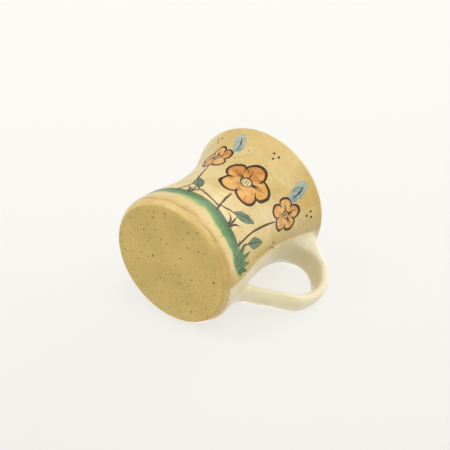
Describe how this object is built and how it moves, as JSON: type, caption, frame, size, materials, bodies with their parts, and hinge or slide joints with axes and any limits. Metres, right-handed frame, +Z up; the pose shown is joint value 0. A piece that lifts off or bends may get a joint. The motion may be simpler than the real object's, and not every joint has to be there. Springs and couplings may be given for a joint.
{
  "type": "clay mug",
  "caption": "Waisted clay mug with a flared rim, a flat bare base and a pulled strap handle, glazed amber and cream with brush-painted flowers.",
  "frame": {"origin": "centre of the flat bare disc underneath the mug", "axes": "+Z up along the mug's axis to its mouth, +X towards the handle, -Y towards the painted side"},
  "size_m": [0.1178, 0.0924, 0.09],
  "materials": {
    "bare_clay": "matt, speckled",
    "amber_glaze": "glossy",
    "cream_glaze": "glossy",
    "liner_glaze": "glossy",
    "green_slip": "glossy",
    "orange_slip": "glossy",
    "dark_green_slip": "glossy",
    "blue_slip": "glossy"
  },
  "bodies": {
    "root": {"clay_body": "bare_clay", "amber_glaze": "amber_glaze", "pale_glaze_panel": "cream_glaze", "liner_glaze": "liner_glaze", "upper_luted_joint": "cream_glaze", "handle_strap": "cream_glaze", "lower_luted_joint": "cream_glaze", "green_band": "green_slip", "orange_flowers": "orange_slip", "green_leaves": "dark_green_slip", "blue_dabs": "blue_slip"}
  },
  "joints": []
}
